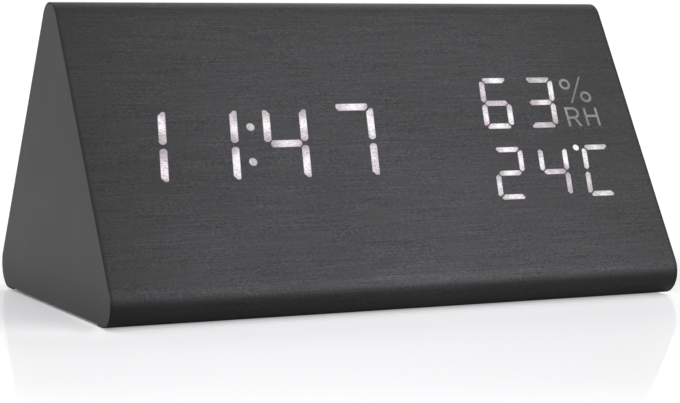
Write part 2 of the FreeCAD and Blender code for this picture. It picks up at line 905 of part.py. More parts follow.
def contact_tags():
    """Tags of the two end contacts, through the bay's wall."""
    tags = []
    for y in (cell_ys()[0], cell_ys()[-1]):
        tags.append(box((bay_half_length - sliver, bay_half_length + tray_wall + tag_reach),
                        around(y, tag_width / 2), around(cell_z + tag_rise, contact_thick / 2)))
    return tags


def contact_list():
    """Strips that join the cells in a row, and the two end strips with their tags."""
    ys = cell_ys()
    plates = [contact_plate(-1, ys[0] - contact_half, ys[1] + contact_half),
              contact_plate(-1, ys[2] - contact_half, ys[3] + contact_half),
              contact_plate(1, ys[1] - contact_half, ys[2] + contact_half)]
    for y, tag in zip((ys[0], ys[-1]), contact_tags()):
        plates.append(contact_plate(1, y - contact_half, y + contact_half).fuse(tag))
    return plates


def battery_contacts():
    return group(contact_list())


def battery_springs():
    """Conical contact springs between the flat ends of the cells and the strips."""
    springs = []
    for place, y in enumerate(cell_ys()):
        way = -1 if place % 2 else 1
        springs.append(cone_spring(way * (bay_half_length - contact_thick), y, -way))
    return group(springs)


def cone_spring(foot_x, y, way):
    """Wire wound along X on a cone."""
    half_wire = spring_wire / 2
    steps = spring_turns * spring_steps
    travel = spring_length - spring_wire
    rings = []
    for step in range(steps + 1):
        share = step / steps
        coil = spring_foot_radius + (spring_tip_radius - spring_foot_radius) * share
        angle = 2 * pi * spring_turns * share
        middle = V(foot_x + way * (half_wire + travel * share), y + coil * cos(angle),
                   cell_z + coil * sin(angle))
        outward = V(0, cos(angle), sin(angle)) * half_wire
        along = V(half_wire, 0, 0)
        rings.append([middle + outward * cos(t) + along * sin(t) for t in ring_angles(wire_sides)])
    return skinned(rings)


def main_board():
    board = box(around(0, main_board_half_length), around(0, main_board_half_width),
                (main_board_z, main_board_top))
    for screw in board_screw_list():
        board = board.cut(screw)
    return board


def board_screw_list():
    """Screws down through the main board into the posts."""
    shape = screw_shape(board_screw)
    head_z = main_board_top + board_screw.head_height
    return [placed(shape, sx * post_x, sy * post_y, head_z, True) for sx in (-1, 1) for sy in (-1, 1)]


def board_screws():
    return group(board_screw_list())


def microcontroller():
    return chip(0.0, 0.0, microcontroller_length, microcontroller_width, main_board_top,
                microcontroller_height)


def clock_crystal():
    can = dot(crystal_radius, 0, 0, (0, crystal_length))
    return along_x(can, crystal_x, crystal_y, main_board_top + crystal_radius * cos(pi / dot_sides))


def cell_holder():
    """Socket with a round pocket for the backup cell, open above."""
    half = coin_radius + coin_clear + holder_wall
    outer = box(around(coin_x, half), around(0, half), (main_board_top, main_board_top + holder_height))
    pocket_range = (main_board_top + holder_floor, main_board_top + holder_height + past)
    return outer.cut(ngon(coin_radius + coin_clear, coin_x, 0, pocket_range, round_sides))


def backup_cell():
    """Coin cell in its holder."""
    low = main_board_top + holder_floor
    return ngon(coin_radius, coin_x, 0, (low, low + coin_thick), round_sides)


def cell_clip():
    """Sprung strap over the backup cell, with its feet on the board."""
    low = main_board_top + holder_floor + coin_thick
    top = low + clip_thick
    reach = coin_radius + coin_clear + holder_wall + clip_gap
    parts = [box(around(coin_x, reach + clip_thick), around(0, clip_half_width), (low, top))]
    for side in (-1, 1):
        x_range = sorted((coin_x + side * reach, coin_x + side * (reach + clip_thick)))
        parts.append(box(x_range, around(0, clip_half_width), (main_board_top, top)))
    return fuse(parts)


def sounder():
    """Round sounder with its sound hole."""
    top = main_board_top + sounder_height
    can = ngon(sounder_radius, sounder_x, 0, (main_board_top, top), round_sides)
    return can.cut(dot(sounder_hole_radius, sounder_x, 0, (top - sounder_hole_depth, top + past)))


def capacitors():
    return group([dot(cap_radius, x, y, (main_board_top, main_board_top + cap_height)) for x, y in cap_spots])


def voltage_regulator():
    """Regulator with three legs on one side and its tab on the other."""
    low_y, high_y = around(regulator_y, regulator_half_width)
    flat_range = (main_board_top, main_board_top + leg_thick)
    parts = [box(around(regulator_x, regulator_half_length), (low_y, high_y),
                 (main_board_top, main_board_top + regulator_height)),
             box(around(regulator_x, regulator_tab_half), (low_y - regulator_tab_reach, low_y), flat_range)]
    for step in (-1, 0, 1):
        leg_x = regulator_x + step * regulator_pitch
        parts.append(box(around(leg_x, leg_width / 2), (high_y, high_y + regulator_leg_reach), flat_range))
    return fuse(parts)


def stations(points):
    """Points and directions along a route whose corners are rounded as widely as its runs allow."""
    route = [(points[0], (points[1] - points[0]).normalize())]
    for before, corner, after in zip(points, points[1:], points[2:]):
        into = (corner - before).normalize()
        out = (after - corner).normalize()
        half_turn = into.getAngle(out) / 2
        cut = bend_share * min((corner - before).Length, (after - corner).Length)
        radius = cut / tan(half_turn)
        print("bend radius %.1f" % radius)
        middle = corner + (out - into).normalize() * (radius / cos(half_turn) - radius)
        route += [(corner - into * cut, into), (middle, (into + out).normalize()), (corner + out * cut, out)]
    route.append((points[-1], route[-1][1]))
    return route


def swept(section, level, points):
    """Section carried along a route, with its first axis kept nearest to a level direction."""
    rings = []
    for point, direction in stations(points):
        wide = (level - direction * level.dot(direction)).normalize()
        high = direction.cross(wide)
        rings.append([point + wide * p + high * q for p, q in section])
    return skinned(rings)


def lead(side):
    """Insulated wire from an end contact's tag up to the main board."""
    start = V(bay_half_length + tray_wall + tag_reach, side * cell_ys()[-1], cell_z + tag_rise)
    out = start + V(lead_out, 0, 0)
    below = V(start.x + lead_side, side * (main_board_half_width - lead_inset), start.z + lead_rise)
    end = V(below.x, below.y, main_board_z)
    section = [(lead_radius * cos(t), lead_radius * sin(t)) for t in ring_angles(screw_sides)]
    return swept(section, V(0, 1, 0), [start, out, below, end])


def face_point(v, w, side):
    """Point above (w out of, or minus w into) a sloping face, v up it; side -1 is the front."""
    y = face_y - v * cos(slope) + w * sin(slope)
    return V(0, side * y, face_z + v * sin(slope) + w * cos(slope))


def ribbon(start, inward):
    """Flat cable from a face board into the hollow and down to the main board."""
    knee = start + inward * ribbon_reach
    end = V(0, knee.y, main_board_top)
    half_width = ribbon_width / 2
    half_thick = ribbon_thick / 2
    section = [(half_width, half_thick), (-half_width, half_thick), (-half_width, -half_thick),
               (half_width, -half_thick)]
    return swept(section, V(1, 0, 0), [start, knee, end])


def display_cable():
    start = face_point(driver_v, -board_back, -1)
    return ribbon(start, V(0, sin(slope), -cos(slope)))


def button_cable():
    start = face_point(panel_v + button_ribbon_rise, -button_board_back, 1)
    return ribbon(start, V(0, -sin(slope), -cos(slope)))


def panel_screw_list():
    """Sunk screws through the panel's flange into the back wall."""
    shape = screw_shape(panel_screw)
    u = panel_half_length - panel_flange / 2
    return [back(placed(shape, side * u, panel_v, 0, True)) for side in (-1, 1)]


def panel_screws():
    return group(panel_screw_list())


def control_panel():
    """Moulded insert with the button holes, power inlet hole, vents and board bosses."""
    plate = rounded_plate(panel_half_length, panel_half_height, panel_v, (-panel_thick, 0), panel_corner)
    bosses = [dot(boss_radius, side * boss_u, panel_v, (-button_board_face, bite - panel_thick))
              for side in (-1, 1)]
    plate = fuse([plate] + bosses)
    through = (-panel_thick - past, past)
    tools = [ngon(button_radius + button_clear, u, panel_v, through, round_sides) for u in button_us.values()]
    tools.append(ngon(jack_nose_radius + panel_clear, jack_u, panel_v, through, round_sides))
    tools.append(dot(sound_hole_radius, sound_u, panel_v, through))
    for place in range(vent_count):
        u = sensor_u + (place - (vent_count - 1) / 2) * vent_pitch
        tools.append(box(around(u, vent_width / 2), around(panel_v, vent_length / 2), through))
    plate = back(plate.cut(group(tools)))
    for screw in panel_screw_list() + button_board_screw_list():
        plate = plate.cut(screw)
    return plate


def button_board_screw_list():
    shape = screw_shape(button_board_screw)
    head_z = -button_board_back - button_board_screw.head_height
    return [back(placed(shape, side * boss_u, panel_v, head_z, False)) for side in (-1, 1)]


def button_board_screws():
    return group(button_board_screw_list())


def button_board():
    board = box(around(0, button_board_half_length), around(panel_v, button_board_half_height),
                (-button_board_back, -button_board_face))
    board = back(board)
    for screw in button_board_screw_list():
        board = board.cut(screw)
    return board


def button(u):
    """Round key with a flange behind the panel and a short stem on the switch."""
    flange_top = -panel_thick - button_rest_gap
    flange_low = flange_top - button_flange_thick
    plunger_top = -button_board_face + switch_height + plunger_proud
    cap = ngon(button_radius, u, panel_v, (flange_low, button_proud), round_sides)
    rim = [edge for edge in cap.Edges if edge.BoundBox.ZMin > button_proud - sliver]
    flange = dot(button_flange_radius, u, panel_v, (flange_low, flange_top))
    stem = dot(stem_radius, u, panel_v, (plunger_top, flange_low))
    return back(fuse([cap.makeChamfer(button_chamfer, rim), flange, stem]))


def plunger(u):
    """Plunger of a key's switch, which moves with the key."""
    top = -button_board_face + switch_height
    return back(dot(plunger_radius, u, panel_v, (top - plunger_depth, top + plunger_proud)))


def tact_switches():
    """Switch housings with their plunger bores."""
    housings = []
    top = -button_board_face + switch_height
    bore_low = top - plunger_depth - button_travel - plunger_spare
    for u in button_us.values():
        body = box(around(u, switch_size / 2), around(panel_v, switch_size / 2), (-button_board_face, top))
        bore = dot(plunger_radius + plunger_clear, u, panel_v, (bore_low, top + past))
        housings.append(back(body.cut(bore)))
    return group(housings)


def dc_jack():
    """Power inlet: square body on the board and a round nose in the panel."""
    body = box(around(jack_u, jack_size / 2), around(panel_v, jack_size / 2),
               (-button_board_face, -panel_thick - jack_gap))
    nose = ngon(jack_nose_radius, jack_u, panel_v, (-panel_thick - bite, 0), round_sides)
    bore = rod(jack_bore_radius, jack_u, panel_v, (-jack_bore_depth, past))
    return back(fuse([body, nose]).cut(bore).cut(jack_root(past)))


def jack_root(extra):
    """Wide foot of the inlet's pin."""
    z_range = (-jack_bore_depth - jack_pin_root, extra - jack_bore_depth)
    return ngon(jack_root_radius, jack_u, panel_v, z_range, screw_sides)


def dc_jack_pin():
    pin = rod(jack_pin_radius, jack_u, panel_v, (-jack_bore_depth, -jack_pin_recess))
    return back(jack_root(0).fuse(pin))


def sound_sensor():
    low = -button_board_face
    return back(ngon(sound_radius, sound_u, panel_v, (low, low + sound_height), round_sides))


def climate_sensor():
    """Slotted box of the temperature and humidity sensor, behind the vents."""
    low = -button_board_face
    top = low + sensor_height
    body = box(around(sensor_u, sensor_length / 2), around(panel_v, sensor_width / 2), (low, top))
    slots = [box(around(sensor_u + step * sensor_slot_pitch, sensor_slot_width / 2),
                 around(panel_v, sensor_slot_length / 2), (top - sensor_slot_depth, top + past))
             for step in (-1, 0, 1)]
    return back(body.cut(group(slots)))


def save(name, shape):
    """Writes one node after testing its solids."""
    if not shape.isValid():
        print("INVALID", name)
    volumes = [solid.Volume for solid in shape.Solids]
    print("%-22s solids %3d  volume %10.2f" % (name, len(volumes), sum(volumes)))
    shape.exportStep("parts/%s.step" % name)


def main():
    os.makedirs("parts", exist_ok=True)
    makers = [body_core, grain_wrap, diffuser_sheet, display_reflector, display_board, segment_leds,
              display_screws, segment_drivers, base_plate, base_screws, rest_pads, battery_door,
              battery_cells, battery_contacts, battery_springs, main_board, board_screws,
              microcontroller, clock_crystal, cell_holder, backup_cell, cell_clip, sounder, capacitors,
              voltage_regulator, display_cable, button_cable, control_panel, panel_screws, button_board,
              button_board_screws, tact_switches, dc_jack, dc_jack_pin, sound_sensor, climate_sensor]
    for maker in makers:
        save(maker.__name__, maker())
    for readout in ("time", "colon", "humidity", "temperature", "icons"):
        save("lit_" + readout, lit_node(readout))
    for name, u in button_us.items():
        save(name, button(u))
        save(name.replace("button", "plunger"), plunger(u))
    save("red_lead", lead(1))
    save("black_lead", lead(-1))


main()
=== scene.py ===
import json
from math import atan2, cos, pi, radians, sin

import bmesh
import bpy
from mathutils import Matrix, Vector


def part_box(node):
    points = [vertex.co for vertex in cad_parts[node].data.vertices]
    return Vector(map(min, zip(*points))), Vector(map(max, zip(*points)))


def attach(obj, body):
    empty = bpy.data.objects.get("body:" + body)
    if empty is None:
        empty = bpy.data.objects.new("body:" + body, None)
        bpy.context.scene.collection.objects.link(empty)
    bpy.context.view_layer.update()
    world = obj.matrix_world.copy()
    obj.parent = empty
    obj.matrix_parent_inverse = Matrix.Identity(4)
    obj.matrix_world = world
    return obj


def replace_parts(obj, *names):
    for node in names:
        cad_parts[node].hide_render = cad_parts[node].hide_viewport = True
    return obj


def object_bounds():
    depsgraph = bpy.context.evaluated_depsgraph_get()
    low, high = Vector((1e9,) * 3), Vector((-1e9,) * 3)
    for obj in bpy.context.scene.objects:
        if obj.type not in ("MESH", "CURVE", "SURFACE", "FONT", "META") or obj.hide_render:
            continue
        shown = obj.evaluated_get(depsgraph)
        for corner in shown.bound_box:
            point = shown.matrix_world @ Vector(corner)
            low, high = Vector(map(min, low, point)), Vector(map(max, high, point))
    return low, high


# Wedge-shaped wooden table clock with black wood-grain film and a glowing readout.
# The frame's own units are used throughout: metres, display towards -Y, Z up.
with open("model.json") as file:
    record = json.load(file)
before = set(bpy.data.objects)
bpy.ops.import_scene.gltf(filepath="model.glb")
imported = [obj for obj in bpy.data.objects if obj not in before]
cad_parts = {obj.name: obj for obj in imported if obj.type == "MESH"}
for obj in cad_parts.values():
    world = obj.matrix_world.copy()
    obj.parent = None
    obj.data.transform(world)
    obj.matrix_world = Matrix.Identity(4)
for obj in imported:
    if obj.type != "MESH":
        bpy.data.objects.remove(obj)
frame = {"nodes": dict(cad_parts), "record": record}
cad_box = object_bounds()
nodes = frame["nodes"]

# Driving sizes of the case, as in the solids
mm = 0.001
depth = 87.0 * mm
body_height = 73.0 * mm
corner_radius = 5.8 * mm
pad_proud = 0.4 * mm
panel_v = 26.0 * mm
half_length = cad_box[1][0]
half_depth = depth / 2
half_base = half_depth - corner_radius
slope = atan2(body_height - 2 * corner_radius, half_base)
face_tilt = cos(slope)
face_y = half_base + corner_radius * sin(slope)
face_z = pad_proud + corner_radius + corner_radius * cos(slope)

# Screws: radius and depth of the head, radius of the shank, length
base_screw = (2.9 * mm, 1.7 * mm, 1.4 * mm, 11.2 * mm)
panel_screw = (1.8 * mm, 1.0 * mm, 0.9 * mm, 7.0 * mm)
screw_sides = 36

# Cross recess: reach and half width of an arm at its top and foot, and depth, as shares of the head
cross_top = (0.62, 0.13)
cross_foot = (0.40, 0.09)
cross_depth = 0.6

# Round pieces: radius and height in millimetres, from axis to axis
key_profile = (
    (0, 1.02), (1.2, 1.04), (2.3, 1.12), (2.9, 1.2), (3.12, 1.18), (3.3, 1.06), (3.38, 0.88),
    (3.4, 0.65), (3.4, -2.05), (4.2, -2.05), (4.2, -2.85), (1.6, -2.85), (1.6, -3.6), (0, -3.6),
)
pad_profile = ((0, 0), (3.7, 0), (4.1, 0.08), (4.35, 0.25), (4.5, 0.5), (4.5, 1.2), (0, 1.2))
pad_radius = 4.5 * mm
round_sides = 48

# Edges that turn by more than so many degrees stay sharp
sharp_angle = 32

# Film: the colours of its grain, and shares of them by tilt, length, height and distance to the cut ends;
# the shares by tilt, length and height are painted light and shade
film_grain = (
    (0.34, (0.0300, 0.0300, 0.0320)), (0.50, (0.0503, 0.0503, 0.0537)), (0.66, (0.0765, 0.0765, 0.0818)),
)
# Painted shade and light by tilt: dark on the lower bends, lighter where they begin, a dark band under the
# ridge and a highlight on it
film_painted_shade_by_tilt = (
    (-0.85, 0.20), (-0.56, 0.205), (-0.20, 0.31), (-0.07, 0.51), (0.03, 0.76), (0.14, 1.08), (0.34, 1.21),
    (0.47, 1.13), (face_tilt, 1.0), (0.55, 0.95), (0.62, 0.83), (0.69, 0.73), (0.77, 0.84), (0.88, 1.34),
    (1.0, 1.72),
)
# Painted shade by length: darker towards both ends, most at the left
film_painted_shade_by_length = (
    (-1.0, 0.505), (-0.87, 0.63), (-0.67, 0.81), (-0.40, 0.945), (0.0, 1.035), (0.6, 0.90), (0.8, 0.775),
    (1.0, 0.66),
)
# Painted light and shade by height: lighter low down, darker towards the ridge
film_painted_light_by_height_mm = ((9, 1.22), (20, 1.07), (35, 1.05), (50, 0.965), (62, 0.935), (71, 0.80))
film_by_cut_mm = ((-0.9, 1.0), (-0.45, 0.60), (0.0, 0.45))

# Lower bends of the film: up-and-down tilt of the real round edge, and the tilt that it shows
shown_tilts = ((-1.0, -1.0), (-0.08, -0.25), (0.26, 0.51), (face_tilt, face_tilt), (1.0, 1.0))

# Painted ends: the colours of their mottle, and shares of them by height, which are painted light and shade
end_paint = ((0.35, (0.063, 0.063, 0.063)), (0.65, (0.0725, 0.0725, 0.0725)))
end_painted_light_by_height_mm = ((3, 0.78), (9, 1.00), (14, 1.07), (24, 1.07), (32, 1.0), (41, 0.95), (55, 0.90))

# Readout: how far a lamp's light spreads, the soft rim of a bar and the colours of its light
lamp_reach = 4.6 * mm
rim_reach = 0.28 * mm
rim_level = 0.42
light_colours = (
    (0.30, (0.24, 0.22, 0.235)), (0.52, (0.50, 0.45, 0.48)), (0.74, (0.84, 0.80, 0.835)),
    (0.92, (0.98, 0.97, 0.98)),
)

# Plain colours
white = (1.0, 1.0, 1.0)
pink = (1.0, 0.88, 0.94)

# Texture cycles per metre for moulded and metal pieces, and how far colour and roughness stray
fine = (2600, 2600, 2600)
coarse = (1300, 1300, 1300)
brushed = (300, 300, 5000)
colour_spread = 0.12
roughness_spread = 0.06

# Camera: place in metres, angles in degrees, lens and sensor in millimetres
camera_place = (-0.222893, -0.481208, 0.071587)
camera_yaw = 24.99
camera_pitch = 5.23
camera_roll = 0.135
camera_lens = 110.534
sensor_width = 36.0
nearest_seen = 0.01

# Light, its spreads in degrees: a white surface facing the sky and both lamps renders about as white
sky_level = 0.72
sky_shown = 1.0
left_lamp = {"towards": (-0.62, -0.45, 0.70), "level": 0.22, "spread": 60}
right_lamp = {"towards": (0.60, -0.42, 0.68), "level": 0.255, "spread": 50}

# Floor: its grey for light that bounces off it, its lift for the camera, its haze and its gloss
floor_reach = 40.0
floor_bounce = 0.50
floor_lift = 0.0995
floor_lift_colour = (0.84, 0.84, 1.0)
# Colour of the painted light that thins the shadow near the clock
painted_light_colour = (0.93, 0.93, 0.93)
floor_haze = 0.11
haze_roughness = 0.40
mirror_roughness = 0.03

# Painted light for the camera that thins the shadow along the front and back edges, by distance beyond them
# and the ends
front_strip_mm = (
    (-12.5, 0.0), (-8.5, 0.12), (-5.5, 0.56), (-4.0, 0.55), (-2.0, 0.34), (0.5, 0.17), (4.5, 0.07),
    (16.5, 0.0),
)
front_strip_end_mm = ((-3, 1.0), (4, 0.0))

# Painted light for the camera that thins the shadow along the ends, by distance beyond them and by Y
end_strip_mm = ((-2.0, 0.0), (-1.1, 0.12), (-0.6, 0.36), (-0.1, 0.42), (0.4, 0.24), (0.9, 0.10), (1.7, 0.0))
end_strip_along_mm = ((-40, 0.0), (-36, 1.0), (-27, 1.0), (-3, 0.45), (20, 0.0))

# Painted light for the camera that softens the shadow beside the ends, by distance beyond them and by Y
beside_mm = ((-0.5, 0.0), (1.5, 1.0), (7, 0.85), (12, 0.60), (21, 0.0))
beside_along_mm = (
    (-55, 0.0), (-45, 0.07), (-38, 0.20), (-30, 0.18), (-15, 0.12), (0, 0.09), (30, 0.05), (45, 0.0),
)

# Two ways over the floor, in degrees turned from +X towards +Y
across_way = -25.0
outward_way = 65.0

# Share of the floor's mirror image, by distance along the two ways
mirror_across_mm = (
    (-70, 0.130), (-60, 0.125), (-49, 0.108), (-35, 0.092), (-17, 0.082), (3, 0.084), (23, 0.095),
    (41.5, 0.112), (54.6, 0.127), (62, 0.138), (75, 0.148),
)
mirror_outward_mm = ((110, 1.0), (126, 0.93), (135, 0.85), (143, 0.72), (152, 0.50), (175, 0.0))

# Changes to that share by distance beyond the front and back edges, and where along the first way
mirror_beside_mm = ((-28.5, 1.0), (-13.5, 0.80), (-7.5, 0.85), (0.0, 1.0))
mirror_extra_mm = ((-7.5, 0.0), (0.0, 0.026), (8.5, 0.027), (20.5, 0.009), (30.5, 0.0))
mirror_extra_across_mm = ((12, 1.0), (40, 0.0))


def new_material(slot):
    """Empty node material with a Principled surface."""
    made = bpy.data.materials.new(slot)
    made.use_nodes = True
    return made, made.node_tree, made.node_tree.nodes["Principled BSDF"]


def feed(tree, target, value):
    """Sets an input to a number, or links it to an output."""
    if isinstance(value, (int, float)):
        target.default_value = value
    else:
        tree.links.new(value, target)


def calculate(tree, operation, *values):
    """Sum, product or other operation on outputs and numbers."""
    node = tree.nodes.new("ShaderNodeMath")
    node.operation = operation
    for target, value in zip(node.inputs, values):
        feed(tree, target, value)
    return node.outputs["Value"]


def product(tree, *values):
    """Product of outputs and numbers."""
    total = values[0]
    for value in values[1:]:
        total = calculate(tree, "MULTIPLY", total, value)
    return total


def between(tree, amount, given, wanted):
    """Number that goes over the wanted range as the amount goes over the given one."""
    node = tree.nodes.new("ShaderNodeMapRange")
    tree.links.new(amount, node.inputs["Value"])
    for name, value in zip(("From Min", "From Max", "To Min", "To Max"), (*given, *wanted)):
        node.inputs[name].default_value = value
    return node.outputs["Result"]


def colours(tree, amount, stops):
    """Colour that runs through the stops, each a position from 0 to 1 and a colour."""
    node = tree.nodes.new("ShaderNodeValToRGB")
    ramp = node.color_ramp
    while len(ramp.elements) < len(stops):
        ramp.elements.new(0.5)
    for element, (position, colour) in zip(ramp.elements, stops):
        element.position = position
        element.color = (*colour, 1.0)
    tree.links.new(amount, node.inputs["Fac"])
    return node.outputs["Color"]


def levels(tree, amount, stops, unit=1.0):
    """Grey that runs through the stops, each a value of the amount in some unit and a level."""
    low = stops[0][0]
    span = stops[-1][0] - low
    share = between(tree, amount, (low * unit, (low + span) * unit), (0.0, 1.0))
    return colours(tree, share, [((value - low) / span, (level,) * 3) for value, level in stops])


def noise(tree, cycles, detail, roughness, distortion=0.0):
    """Noise from 0 to 1 with so many cycles per metre along each axis of the object."""
    place = tree.nodes.new("ShaderNodeTexCoord")
    stretch = tree.nodes.new("ShaderNodeMapping")
    stretch.inputs["Scale"].default_value = cycles
    texture = tree.nodes.new("ShaderNodeTexNoise")
    texture.inputs["Scale"].default_value = 1.0
    texture.inputs["Detail"].default_value = detail
    texture.inputs["Roughness"].default_value = roughness
    texture.inputs["Distortion"].default_value = distortion
    tree.links.new(place.outputs["Object"], stretch.inputs["Vector"])
    tree.links.new(stretch.outputs["Vector"], texture.inputs["Vector"])
    return texture.outputs["Fac"]


def multiplied(tree, first, second):
    """Product of two colours."""
    node = tree.nodes.new("ShaderNodeMix")
    node.data_type = "RGBA"
    node.blend_type = "MULTIPLY"
    node.inputs["Factor"].default_value = 1.0
    tree.links.new(first, node.inputs["A"])
    tree.links.new(second, node.inputs["B"])
    return node.outputs["Result"]


def part_of(tree, output, axis):
    """One axis of the object's coordinates or of its normal."""
    place = tree.nodes.new("ShaderNodeTexCoord")
    split = tree.nodes.new("ShaderNodeSeparateXYZ")
    tree.links.new(place.outputs[output], split.inputs["Vector"])
    return split.outputs[axis]


def beyond(tree, axis, edge):
    """Distance along an axis beyond the nearer of two edges that lie evenly about the middle."""
    from_middle = calculate(tree, "ABSOLUTE", part_of(tree, "Object", axis))
    return calculate(tree, "SUBTRACT", from_middle, edge)


def along_way(tree, degrees):
    """Distance over the floor from the middle, in a direction turned from +X towards +Y."""
    turn = radians(degrees)
    along_x = product(tree, part_of(tree, "Object", "X"), cos(turn))
    along_y = product(tree, part_of(tree, "Object", "Y"), sin(turn))
    return calculate(tree, "ADD", along_x, along_y)


def raised(tree, surface, height, depth_in_metres, strength, facing=None):
    """Bump from a height between 0 and 1, over a given normal if there is one."""
    node = tree.nodes.new("ShaderNodeBump")
    if facing is not None:
        tree.links.new(facing, node.inputs["Normal"])
    node.inputs["Strength"].default_value = strength
    node.inputs["Distance"].default_value = depth_in_metres
    tree.links.new(height, node.inputs["Height"])
    tree.links.new(node.outputs["Normal"], surface.inputs["Normal"])


def sharp_bend(tree):
    """Normal of a film that stays flat further round its lower bends and then turns under sharply."""
    stops = [(real, (shown + 1) / 2) for real, shown in shown_tilts]
    up = calculate(tree, "MULTIPLY_ADD", levels(tree, part_of(tree, "Normal", "Z"), stops), 2.0, -1.0)
    level = calculate(tree, "SQRT", calculate(tree, "SUBTRACT", 1.0, product(tree, up, up)))
    level = product(tree, level, calculate(tree, "SIGN", part_of(tree, "Normal", "Y")))
    join = tree.nodes.new("ShaderNodeCombineXYZ")
    for value, axis in zip((part_of(tree, "Normal", "X"), level, up), "XYZ"):
        tree.links.new(value, join.inputs[axis])
    turn = tree.nodes.new("ShaderNodeVectorTransform")
    turn.vector_type = "NORMAL"
    turn.convert_from = "OBJECT"
    turn.convert_to = "WORLD"
    tree.links.new(join.outputs["Vector"], turn.inputs["Vector"])
    return turn.outputs["Vector"]


def film_material():
    """Charcoal film with short fine threads along X, darker at its cut ends, with painted shade and
    highlights by tilt at its bends and ridge, and painted light and shade along its length and height.
    """
    made, tree, surface = new_material("grain_film")
    threads = noise(tree, (1400, 2900, 2900), detail=2.0, roughness=0.6)
    streaks = noise(tree, (75, 3000, 3000), detail=2.0, roughness=0.6)
    patches = noise(tree, (22, 40, 40), detail=2.0, roughness=0.5)
    clusters = noise(tree, (110, 300, 300), detail=2.0, roughness=0.5)
    thread_share = 0.62
    patch_share = 0.18
    lines = calculate(tree, "MULTIPLY_ADD", threads, thread_share, product(tree, streaks, 1 - thread_share))
    lines = calculate(tree, "SUBTRACT", lines, 0.5)
    lines = product(tree, lines, between(tree, clusters, (0.3, 0.7), (0.35, 1.45)))
    patched = calculate(tree, "MULTIPLY_ADD", patches, patch_share, 0.5 - patch_share / 2)
    total = calculate(tree, "ADD", lines, patched)
    shade = colours(tree, total, film_grain)
    by_length = product(tree, part_of(tree, "Object", "X"), 1 / half_length)
    # Painted shade and highlight by tilt, painted light and shade by length and height, and darkening at
    # the cut ends
    for factor in (
        levels(tree, part_of(tree, "Normal", "Z"), film_painted_shade_by_tilt),
        levels(tree, by_length, film_painted_shade_by_length),
        levels(tree, part_of(tree, "Object", "Z"), film_painted_light_by_height_mm, mm),
        levels(tree, beyond(tree, "X", half_length), film_by_cut_mm, mm),
    ):
        shade = multiplied(tree, shade, factor)
    tree.links.new(shade, surface.inputs["Base Color"])
    tree.links.new(between(tree, total, (0.35, 0.65), (0.62, 0.50)), surface.inputs["Roughness"])
    surface.inputs["Specular IOR Level"].default_value = 0.20
    raised(tree, surface, total, 0.04 * mm, 0.4, sharp_bend(tree))
    return made


def board_material():
    """Smooth painted fibreboard with a faint mottle and painted light and shade by height."""
    made, tree, surface = new_material("painted_board")
    mottle = noise(tree, (90, 90, 90), detail=4.0, roughness=0.6)
    fibre = noise(tree, (2400, 2400, 2400), detail=2.0, roughness=0.6)
    fibre_share = 0.3
    total = calculate(tree, "MULTIPLY_ADD", fibre, fibre_share, product(tree, mottle, 1 - fibre_share))
    paint = colours(tree, total, end_paint)
    # Painted light and shade by height over the mottle
    painted_light_by_height = levels(tree, part_of(tree, "Object", "Z"), end_painted_light_by_height_mm, mm)
    tree.links.new(multiplied(tree, paint, painted_light_by_height), surface.inputs["Base Color"])
    tree.links.new(between(tree, fibre, (0.3, 0.7), (0.66, 0.56)), surface.inputs["Roughness"])
    surface.inputs["Specular IOR Level"].default_value = 0.15
    raised(tree, surface, fibre, 0.02 * mm, 0.4)
    return made


def lamp_spots(node):
    """Middle of each separate bar or dot of a node, from its mesh."""
    work = bmesh.new()
    work.from_mesh(node.data)
    bmesh.ops.remove_doubles(work, verts=work.verts, dist=0.001 * mm)
    unseen = set(work.verts)
    middles = []
    while unseen:
        found = [unseen.pop()]
        for vert in found:
            for edge in vert.link_edges:
                other = edge.other_vert(vert)
                if other in unseen:
                    unseen.remove(other)
                    found.append(other)
        spans = [sorted(vert.co[axis] for vert in found) for axis in range(3)]
        middles.append(tuple((span[0] + span[-1]) / 2 for span in spans))
    work.free()
    return sorted(middles)


def nearness(tree, spots, reach):
    """One at the nearest of some spots, falling to nought at a distance."""
    place = tree.nodes.new("ShaderNodeTexCoord")
    nearest = reach
    for spot in spots:
        node = tree.nodes.new("ShaderNodeVectorMath")
        node.operation = "DISTANCE"
        node.inputs[1].default_value = spot
        tree.links.new(place.outputs["Object"], node.inputs[0])
        nearest = calculate(tree, "MINIMUM", node.outputs["Value"], nearest)
    return between(tree, nearest, (0.0, reach), (1.0, 0.0))


def inside(tree, reach, least):
    """One inside a flat face, falling towards its edges."""
    soft = tree.nodes.new("ShaderNodeBevel")
    soft.samples = 8
    soft.inputs["Radius"].default_value = reach
    flat = tree.nodes.new("ShaderNodeNewGeometry")
    turn = tree.nodes.new("ShaderNodeVectorMath")
    turn.operation = "DOT_PRODUCT"
    tree.links.new(soft.outputs["Normal"], turn.inputs[0])
    tree.links.new(flat.outputs["True Normal"], turn.inputs[1])
    return between(tree, turn.outputs["Value"], (0.80, 1.0), (least, 1.0))


